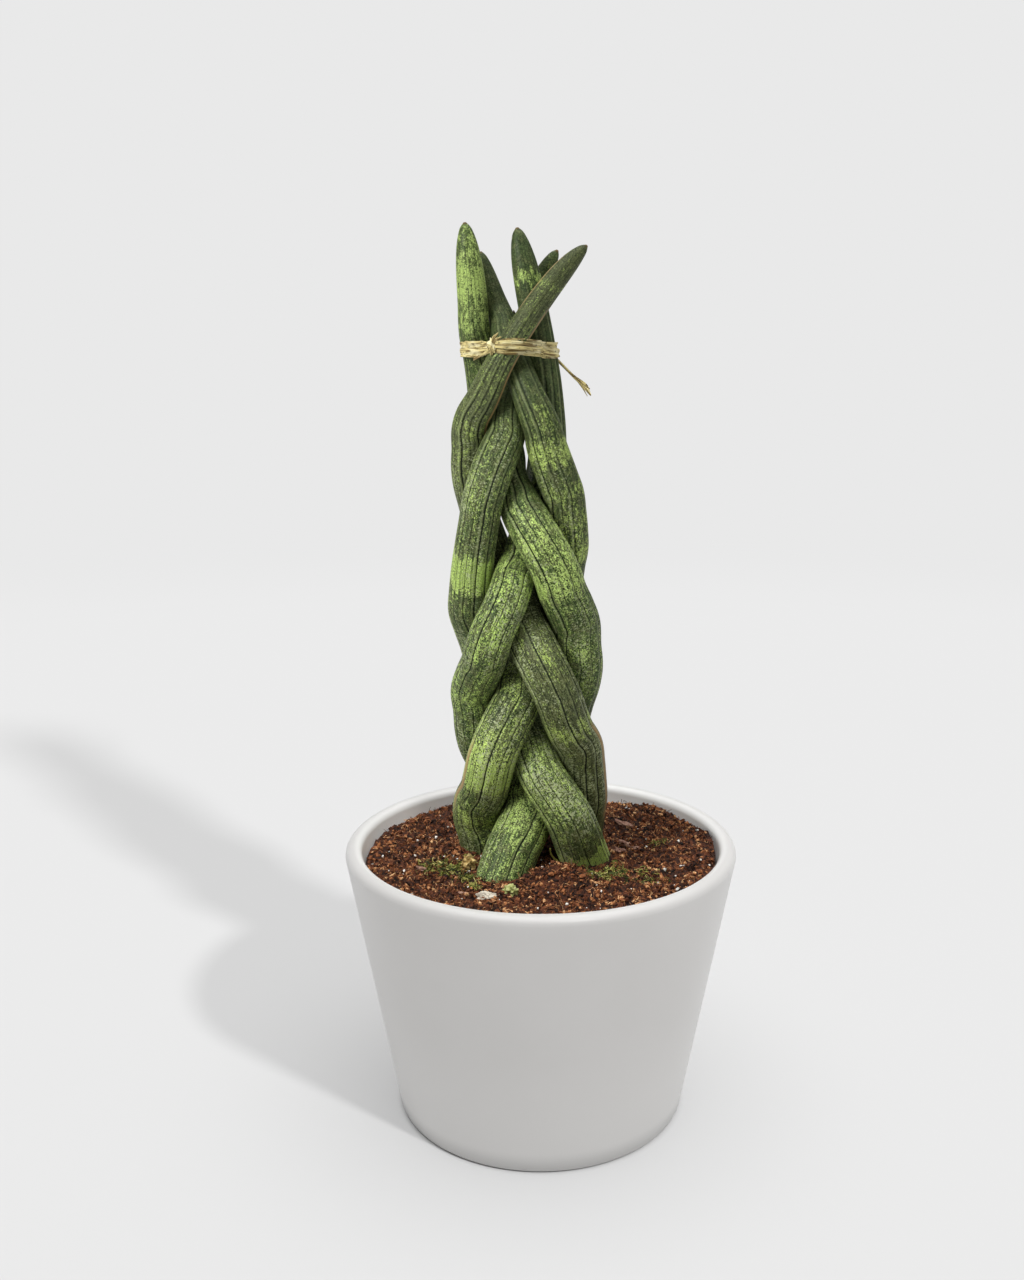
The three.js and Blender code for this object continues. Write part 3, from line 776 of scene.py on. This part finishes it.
def soil_height(x, y):
    """Height of the bed's surface, in millimetres. It is banked up a little towards the wall."""
    z = SOIL_LEVEL + SOIL_SWELL["height"] * math.sin(x * SOIL_SWELL["x"] + 1) * math.cos(y * SOIL_SWELL["y"])
    z += SOIL_BANK["height"] * np.clip(
        (math.hypot(x, y) - SOIL_BANK["start"]) / (SOIL_BANK["end"] - SOIL_BANK["start"]), 0, 1
    )
    for mound_x, mound_y, wide, tall in MOUNDS:
        z += tall * math.exp(-((x - mound_x) ** 2 + (y - mound_y) ** 2) / wide ** 2)
    for tall, wide, seed in CLODS:
        z += tall * noise.noise(Vector((x / wide, y / wide, seed)))
    return z


def tone_material(name, colours, roughness, scale):
    """A crumbly matt finish: each bit has its own tone, with finer mottling on it."""
    material, tree, shader = new_material(name)
    mottling = grain(tree, object_place(tree), scale, 3.0)
    mixed = swayed(tree, attribute(tree, "tone", "Fac"), mottling, 0.9)
    tree.links.new(ramp_of(tree, mixed, colours), shader.inputs["Base Color"])
    shader.inputs["Roughness"].default_value = roughness
    shader.inputs["Specular IOR Level"].default_value = 0.3
    add_bump(tree, shader, mottling, 0.7, 0.3 * MM)
    return material


def set_tones(piece, tones):
    """Keeps a tone with every point of a piece, for its material to read."""
    values = piece.data.attributes.new("tone", "FLOAT", "POINT")
    values.data.foreach_set("value", tones)


bed_floor = POT_FLOOR + SOIL_GAP
bed_radius = pot_radius(SOIL_LEVEL) - POT_WALL - SOIL_GAP
profile = (
    [(0, bed_floor), (pot_radius(corner_height) - POT_WALL - SOIL_GAP - CORNER_ROUND, bed_floor)]
    + wall(POT_WALL + SOIL_GAP, corner_height, SOIL_LEVEL - 1)
    + [(bed_radius * (1 - i / BED_RINGS), SOIL_LEVEL) for i in range(BED_RINGS + 1)]
)
coir = tone_material("moist_coir", COIR_TONES, 0.85, 900.0)
coir_bed = turned("coir_bed", profile, BED_STEPS, coir)
for vert in coir_bed.data.vertices:
    x, y, z = vert.co / MM
    if z > SOIL_LEVEL - 0.01:
        vert.co.z = soil_height(x, y) * MM
coir_bed.data.update()
# The bed is toned darker than the crumbs on it: painted shade in the gaps between them
set_tones(
    coir_bed, [0.26 + 0.35 * noise.noise(vert.co / (2.5 * MM)) for vert in coir_bed.data.vertices]
)
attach(coir_bed, "root")
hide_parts("soil")
lit_soil.objects.link(coir_bed)

leaf_feet = []
for piece in leaf_pieces:
    points = np.array([v.co for v in piece.data.vertices])
    near = points[np.abs(points[:, 2] - (SOIL_LEVEL + 1.5) * MM) < 2 * MM][:, :2] / MM
    leaf_feet.append((near.mean(0), np.ptp(near, axis=0) / 2))


def inside_leaf(x, y, room):
    """Whether a spot on the soil is within a leaf's foot, or this close to it."""
    return any(
        ((x - mid[0]) / (half[0] + room)) ** 2 + ((y - mid[1]) / (half[1] + room)) ** 2 < 1
        for mid, half in leaf_feet
    )


def spots(count, edge, room):
    """Places on the soil, evenly strewn, clear of the leaves."""
    found = []
    while len(found) < count:
        x, y = rng.uniform(-edge, edge, 2)
        if math.hypot(x, y) < edge and not inside_leaf(x, y, room):
            found.append((x, y, soil_height(x, y)))
    return found


def strewn(name, templates, matrices, tones, material):
    """One piece made of many copies of a few small shapes, each with its own tone."""
    bm = bmesh.new()
    each = []
    for i, matrix in enumerate(matrices):
        copy = templates[i % len(templates)].copy()
        copy.transform(matrix)
        bm.from_mesh(copy)
        each.append(len(copy.vertices))
        bpy.data.meshes.remove(copy)
    piece = new_piece(name, bm, material, smooth=False)
    set_tones(piece, np.repeat(tones, each).astype(np.float32))
    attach(piece, "root")
    lit_soil.objects.link(piece)
    return piece


def crumb_shape(detail, roughness, seed):
    """A small irregular lump of one millimetre radius."""
    bm = bmesh.new()
    bmesh.ops.create_icosphere(bm, subdivisions=detail, radius=MM)
    for vert in bm.verts:
        vert.co *= 1 + roughness * noise.noise(vert.co / MM * 1.7 + Vector((seed, 0, 0)))
    return mesh_from("crumb_shape", bm)


def fibre_shape(bend, seed):
    """A thin bent fibre, one millimetre long and a twelfth as thick."""
    bm = bmesh.new()
    thick, thin = FIBRE_RADII
    bmesh.ops.create_cone(bm, cap_ends=True, segments=3, radius1=thick * MM, radius2=thin * MM, depth=MM)
    sides = [e for e in bm.edges if abs(e.verts[0].co.z - e.verts[1].co.z) > 0.5 * MM]
    bmesh.ops.subdivide_edges(bm, edges=sides, cuts=FIBRE_CUTS)
    for vert in bm.verts:
        t = vert.co.z / MM
        vert.co.x += bend * (t * t - 0.08) * MM
        vert.co.y += 0.12 * bend * math.sin(6 * t + seed) * MM
    return mesh_from("fibre_shape", bm)


def moved(x, y, z):
    """A move by millimetres."""
    return Matrix.Translation(Vector((x, y, z)) * MM)


def spun(axis, angle):
    """A turn about an axis."""
    return Matrix.Rotation(angle, 4, axis)


def sized(x, y, z):
    """A change of size in three directions."""
    return Matrix.Diagonal((x, y, z, 1))


def random_turn():
    """Any angle of a full turn."""
    return rng.uniform(0, 2 * math.pi)


def tumbled(x, y, z, size, squash=1.0):
    """A random turn and size at a place, in millimetres."""
    angle = random_turn()
    turn = spun(rng.normal(size=3), angle)
    return moved(x, y, z) @ turn @ sized(size, size * rng.uniform(0.6, 1), size * squash)


def clumped(matrices):
    """A lighter or darker tone shared by the bits of one clump."""
    return np.array([
        0.4 * noise.noise(matrix.translation / (CLUMP_WIDTH * MM)) for matrix in matrices
    ])


crumb_shapes = [crumb_shape(1, 0.9, seed) for seed in range(CRUMB_SHAPES)]
small, big = CRUMB_SIZES
places = []
for x, y, z in spots(CRUMBS, SOIL_EDGE, 0.2):
    size = small + (big - small) * rng.random() ** 2.6
    places.append(tumbled(x, y, z + 0.25 * size, size, rng.uniform(*CRUMB_SQUASH)))
coir_crumbs = strewn(
    "coir_crumbs", crumb_shapes, places,
    0.12 + 0.72 * rng.random(len(places)) ** 1.3 + clumped(places), coir,
)

fibre_shapes = [fibre_shape(bend, seed) for seed, bend in enumerate(FIBRE_BENDS)]
short, long = FIBRE_LENGTHS
places = []
for x, y, z in spots(FIBRES, SOIL_EDGE - 1, 0.5):
    size = short + (long - short) * rng.random() ** 2
    lean = spun("X", math.radians(rng.normal(*FIBRE_LEAN)))
    spin = spun("Z", random_turn())
    roll = spun("Z", random_turn())
    thick = rng.uniform(*FIBRE_WIDTHS)
    places.append(moved(x, y, z + 0.6) @ spin @ lean @ roll @ sized(thick, thick, size))
coir_fibres = strewn(
    "coir_fibres", fibre_shapes, places,
    0.25 + 0.65 * rng.random(len(places)) ** 1.6 + clumped(places), coir,
)

# Small things in the soil. A tan chip of bark, a pale chip of stone and a yellow-green lump of
# moss lie by the leaves, with white perlite, flakes of bark, living moss, a blade of grass and a
# dry shred of leaf sheath among the coir. The moss and the shreds stand in it by one end.
LUMP_DETAIL = 5
LUMP_CORE = 0.94
PERLITE = 90
PERLITE_SIZES = (0.25, 0.7)
FLAKES = [
    (30.6, 2, 3.2), (33, 9, 2.4), (34, 27, 3.4), (37, 5, 1.8), (-28, -36, 1.6), (-45, -14, 1.7),
]
MOSS_PATCHES = [
    (-40, -11, 7, 150), (-33, -15, 6, 140), (-28, -8, 4, 60), (-27, -22, 4, 70),
    (27, -17, 6, 130), (22, -25, 6, 80), (38, -22, 8, 60), (-24, -30, 3, 40), (46, 8, 4, 30),
]
MOSS_LENGTHS = (0.9, 2.6)
MOSS_WIDTHS = (3.0, 5.0)
MOSS_LEAN = (60, 25)
BLADE_PLACE = (4.3, -17.5, 105.5)
SHRED_PLACE = (12.1, -27, 104.5)


def lump(name, node, colours, roughness, scale, rough):
    """A craggy lump in the space of the frame's own plain one."""
    low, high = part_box(node)
    middle, half = (Vector(low) + Vector(high)) / 2, (Vector(high) - Vector(low)) / 2
    bm = bmesh.new()
    bmesh.ops.create_icosphere(bm, subdivisions=LUMP_DETAIL, radius=1)
    for vert in bm.verts:
        out = LUMP_CORE + rough * noise.noise(vert.co * 1.6 + middle * 900)
        out += 0.5 * rough * noise.noise(vert.co * 4.5 + middle * 500)
        vert.co = middle + Vector(a * b for a, b in zip(vert.co * out, half))
    piece = new_piece(name, bm, tone_material(name + "_finish", colours, roughness, scale))
    set_tones(piece, [0.5] * len(piece.data.vertices))
    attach(piece, "root")
    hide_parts(node)
    lit_soil.objects.link(piece)


lump(
    "craggy_bark_chip", "bark_chip",
    [(0.2, (0.05, 0.025, 0.008)), (0.42, (0.34, 0.22, 0.07)), (0.58, (0.62, 0.46, 0.19)),
     (1.0, (0.8, 0.68, 0.4))],
    0.8, 700.0, 0.5,
)
lump(
    "craggy_stone_chip", "stone_chip",
    [(0.2, (0.18, 0.14, 0.10)), (0.5, (0.52, 0.47, 0.38)), (1.0, (0.8, 0.76, 0.66))],
    0.7, 500.0, 0.45,
)
lump(
    "craggy_moss_lump", "moss_lump",
    [(0.2, (0.06, 0.08, 0.02)), (0.45, (0.30, 0.32, 0.10)), (0.7, (0.5, 0.5, 0.24)),
     (1.0, (0.7, 0.68, 0.42))],
    0.85, 900.0, 0.45,
)

places = [
    tumbled(x, y, z + 0.7, rng.uniform(*PERLITE_SIZES))
    for x, y, z in spots(PERLITE, SOIL_EDGE - 1, 0.6)
]
perlite_grains = strewn(
    "perlite_grains", crumb_shapes, places, 0.5 + 0.5 * rng.random(len(places)),
    tone_material(
        "perlite_white",
        [(0.0, (0.3, 0.26, 0.2)), (0.5, (0.7, 0.67, 0.6)), (1.0, (0.85, 0.84, 0.8))],
        0.7, 500.0,
    ),
)

places = []
for x, y, size in FLAKES:
    turn = spun("Z", rng.uniform(-0.5, 0.5)) @ spun("Y", rng.uniform(0.1, 0.5))
    flat = sized(size, 0.55 * size, 0.35 * size)
    places.append(moved(x, y, soil_height(x, y) + 0.9) @ turn @ flat)
bark_flakes = strewn(
    "bark_flakes", [crumb_shape(3, 0.9, 20 + seed) for seed in range(3)], places,
    0.45 + 0.3 * rng.random(len(places)),
    tone_material(
        "bark_flake_finish",
        [(0.1, (0.05, 0.02, 0.012)), (0.5, (0.22, 0.11, 0.075)), (0.8, (0.42, 0.26, 0.19)),
         (1.0, (0.6, 0.45, 0.36))],
        0.75, 600.0,
    ),
)

places = []
for mid_x, mid_y, wide, count in MOSS_PATCHES:
    for x, y in rng.normal((mid_x, mid_y), wide / 2.2, (count, 2)):
        if inside_leaf(x, y, 0.3) or math.hypot(x, y) > SOIL_EDGE:
            continue
        size = rng.uniform(*MOSS_LENGTHS)
        lean = spun("X", math.radians(rng.normal(*MOSS_LEAN)))
        spin = spun("Z", random_turn())
        thick = rng.uniform(*MOSS_WIDTHS)
        place = moved(x, y, soil_height(x, y) + 0.8)
        places.append(place @ spin @ lean @ sized(thick, thick, size))
moss_green = tone_material(
    "moss_green",
    [(0.0, (0.02, 0.03, 0.006)), (0.4, (0.10, 0.125, 0.02)), (0.75, (0.33, 0.34, 0.065)),
     (1.0, (0.68, 0.56, 0.22))],
    0.7, 900.0,
)
living_moss = strewn(
    "living_moss", fibre_shapes, places, rng.random(len(places)) ** 1.4, moss_green
)

blade = moved(*BLADE_PLACE) @ spun("Y", -0.45) @ spun("X", 0.25)
grass_blade = strewn(
    "grass_blade", [fibre_shape(0.3, 3)], [blade @ sized(11, 5, 6.5)], np.array([0.72]), moss_green
)

shred = moved(*SHRED_PLACE) @ spun("Y", -0.5) @ spun("X", 0.35)
dry_sheath = strewn(
    "dry_sheath", [fibre_shape(0.5, 1), fibre_shape(0.9, 2)],
    [shred @ sized(13, 6, 8.5), shred @ moved(1.2, 0.3, -1.5) @ sized(8, 5, 7)],
    np.array([0.8, 0.6]),
    tone_material(
        "dry_sheath_tan",
        [(0.1, (0.12, 0.06, 0.025)), (0.6, (0.42, 0.30, 0.16)), (1.0, (0.7, 0.6, 0.42))],
        0.8, 900.0,
    ),
)

# Tie. One length of split raffia, a dry golden palm fibre, wound round the tips of the leaves and
# knotted at the front left. The band lies creased and folded, and one frayed end hangs free.
TIE_HEIGHT = 289.0
TIE_KNOT_X = -16.7
TIE_COLUMNS = 420
TIE_ROWS = 12
TIE_CLEAR = 0.2
TIE_THICK = 0.25
SLICE_HALF = 1.2
LOOP_TURNS = 360
LOOP_SMOOTHINGS = 6
LOOK_AHEAD = 20
PINCH_REACH = 6

# The band's strips: first and last column, rise at both ends, width at the knot and how much it
# gains away from it, creases by size, folds, drift and start, and lift off the leaves
STRIPS = [
    ((0, 421), (0, 0), (2.6, 2.8), [(0.18, 2.0, 0.05, 0.1), (0.09, 5.0, 0.13, 0.4)], 0.08),
    ((0, 126), (0.9, -0.9), (1.6, 1.2), [(0.2, 1.5, 0.09, 0.6), (0.08, 4.0, 0.2, 0.2)], 0.95),
    ((378, 420), (-3.5, -1.0), (0.8, 0), [(0.06, 1.0, 0.2, 0.0)], 0.9),
]
KNOT_HALF = (1.7, 1.3, 2.6)
TUFTS = ((2.2, 4.6), (1.0, 4.0), (3.2, 3.2))
TUFT_WIDTHS = (1.3, 1.0, 0.2)
TAIL_STEPS = 48
TAIL = [
    (4.0, 4, 287.4), (6.4, 3, 284.9), (8.6, 2.5, 282.7), (12, 2.2, 279.4), (15.6, 2, 276.4),
    (18, 1.8, 272.9),
]
TAIL_WIDTHS = (0.9, 0.85, 0.8, 0.8, 1.2, 1.9, 0.3)
TAIL_FRAYS = [
    [(12.5, 1.8, 279.2), (15.2, 1.3, 276.9), (17.6, 1.0, 275.2)],
    [(12.5, 2.4, 278.8), (14.8, 2.9, 275.9), (16.8, 3.1, 272.6)],
]
FRAY_WIDTHS = (0.4, 0.35, 0.1)

raffia, tree, shader = new_material("split_raffia")
straight = attribute(tree, "straight")
strand = long_grain(tree, straight, 2600.0, 0.05)
highlight_patch = long_grain(tree, straight, 420.0, 0.3)
speck = long_grain(tree, straight, 1500.0, 0.5, 1.0)
gold = mix_colours(
    tree, ease(tree, strand, 0.42, 0.58), (0.17, 0.115, 0.035, 1), (0.72, 0.61, 0.26, 1)
)
# Pale patches on the gold: painted highlights
highlit = mix_colours(tree, ease(tree, highlight_patch, 0.48, 0.64, 0.0, 0.8), gold, (0.9, 0.83, 0.5, 1))
split = mix_colours(tree, ease(tree, speck, 0.6, 0.7, 0.0, 0.8), highlit, (0.06, 0.038, 0.01, 1))
tree.links.new(split, shader.inputs["Base Color"])
shader.inputs["Roughness"].default_value = 0.5
shader.inputs["Specular IOR Level"].default_value = 0.3
add_bump(tree, shader, strand, 0.8, 0.25 * MM)


def around_leaves(height, count):
    """The tight outline of the leaves at a height, as evenly spaced points, in millimetres."""
    cut = np.concatenate([
        [v.co[:2] for v in piece.data.vertices if abs(v.co.z / MM - height) < SLICE_HALF]
        for piece in leaf_pieces
    ]) / MM
    turns = np.linspace(-math.pi, math.pi, LOOP_TURNS + 1)[:-1] - math.pi / 2
    reach = [cut[np.argmax(cut @ (math.cos(t), math.sin(t)))] for t in turns]
    corners = np.array([p for p, q in zip(reach, reach[-1:] + reach) if np.linalg.norm(p - q) > 0.05])
    closed = np.vstack([corners, corners[:1]])
    along = travelled(closed)
    wanted = np.linspace(0, along[-1], count + 1)
    loop = np.stack([np.interp(wanted, along, closed[:, i]) for i in (0, 1)], axis=1)[:-1]
    for _ in range(LOOP_SMOOTHINGS):
        loop = (np.roll(loop, 1, 0) + 2 * loop + np.roll(loop, -1, 0)) / 4
    return loop


def add_to(bm, part):
    """Joins a finished bmesh on to another one."""
    mesh = mesh_from("part", part)
    bm.from_mesh(mesh)
    bpy.data.meshes.remove(mesh)


def strip_of_raffia(bm, line, out, up, widths, creases, lift):
    """A creased ribbon along a line. Its faces are joined on to the bmesh, doubled for thickness."""
    columns = len(line) - 1
    sheet, along_share, cross_share = sheet_of_points(columns, TIE_ROWS)
    at = np.round(along_share * columns).astype(int)
    cross = cross_share - 0.5
    length = travelled(line)
    fold = sum(
        size * np.sin(2 * math.pi * (folds * cross + drift * length[at] / 10 + start))
        for size, folds, drift, start in creases
    )
    high = (lift + fold)[:, None]
    places = line[at] + up[at] * (widths[at] * cross)[:, None] + out[at] * high
    carry(sheet, places * MM)
    note(sheet, "straight", np.stack([widths[at] * cross, fold, length[at]], axis=1) * MM)
    bmesh.ops.solidify(sheet, geom=sheet.faces, thickness=TIE_THICK * MM)
    bmesh.ops.recalc_face_normals(sheet, faces=sheet.faces)
    add_to(bm, sheet)


def loose_strip(bm, points, widths):
    """A narrow ribbon through the given points, facing the front."""
    points = np.array(points, float)
    stations = travelled(points)
    wanted = np.linspace(0, stations[-1], TAIL_STEPS)
    line = curve_through(stations, points, wanted)
    heading = unit(np.gradient(line, axis=0))
    up = unit(np.cross((0, -1.0, 0), heading))
    out = np.cross(heading, up)
    wide = np.interp(wanted, np.linspace(0, stations[-1], len(widths)), widths)
    strip_of_raffia(bm, line, out, up, wide, [(0.12, 1.0, 0.15, 0.2)], 0.0)


loop = around_leaves(TIE_HEIGHT, TIE_COLUMNS)
front = [i for i in range(TIE_COLUMNS) if loop[i, 1] < loop[:, 1].mean()]
knot_at = min(front, key=lambda i: abs(loop[i, 0] - TIE_KNOT_X))
loop = np.roll(loop, -knot_at, 0)
if loop[LOOK_AHEAD, 0] < loop[0, 0]:
    loop = np.roll(loop[::-1], 1, 0)
ring = np.vstack([loop, loop[:1]])
heading = np.roll(loop, -1, 0) - np.roll(loop, 1, 0)
heading = np.vstack([heading, heading[:1]])
out = unit(np.stack([heading[:, 1], -heading[:, 0], np.zeros(len(ring))], axis=1))
up = np.tile((0, 0, 1.0), (len(ring), 1))
share = np.linspace(0, 1, len(ring))
to_knot = np.minimum(share, 1 - share) * np.linalg.norm(np.diff(ring, axis=0), axis=1).sum()
pinch = np.clip(to_knot / PINCH_REACH, 0, 1) ** 0.8
sway = 0.25 * np.sin(2 * math.pi * share * 3) - 0.35 * (ring[:, 0] > 0)
line = np.column_stack([ring, TIE_HEIGHT + sway])

bm = bmesh.new()
for (first, last), rises, (narrow, gain), creases, lift in STRIPS:
    span = slice(first, last)
    rise = np.linspace(*rises, last - first)[:, None] * (0, 0, 1.0)
    widths = narrow + gain * pinch[span]
    strip_of_raffia(bm, line[span] + rise, out[span], up[span], widths, creases, TIE_CLEAR + lift)

knot_middle = Vector((loop[0, 0], loop[0, 1] - 1.3, TIE_HEIGHT + 0.2))
knot = bmesh.new()
bmesh.ops.create_icosphere(knot, subdivisions=5, radius=1)
notes = []
for vert in knot.verts:
    x, y, z = vert.co
    notes.append((math.atan2(z, x) * 1.5 * MM, y * MM, z * 2 * MM))
    crease = 0.1 * math.sin(7 * x + 4 * z) + 0.22 * noise.noise(vert.co * 1.8)
    crease += 0.07 * math.sin(19 * x - 6 * z)
    vert.co = (knot_middle + Vector(a * b for a, b in zip(vert.co * (1 + crease), KNOT_HALF))) * MM
note(knot, "straight", notes)
add_to(bm, knot)
x, y, z = knot_middle
for aside, rise in TUFTS:
    middle = (x + 0.5 * aside, y - 1.5, z + 0.7 * rise)
    loose_strip(bm, [(x, y - 0.9, z + 1), middle, (x + aside, y - 1.2, z + rise)], TUFT_WIDTHS)
raffia_band = new_piece("raffia_band", bm, raffia)
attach(raffia_band, "root")
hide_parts("raffia_tie")
lit_plant.objects.link(raffia_band)

bm = bmesh.new()
loose_strip(bm, TAIL, TAIL_WIDTHS)
for fray in TAIL_FRAYS:
    loose_strip(bm, fray, FRAY_WIDTHS)
raffia_tail = new_piece("raffia_tail", bm, raffia)
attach(raffia_tail, "root")
lit_plant.objects.link(raffia_tail)
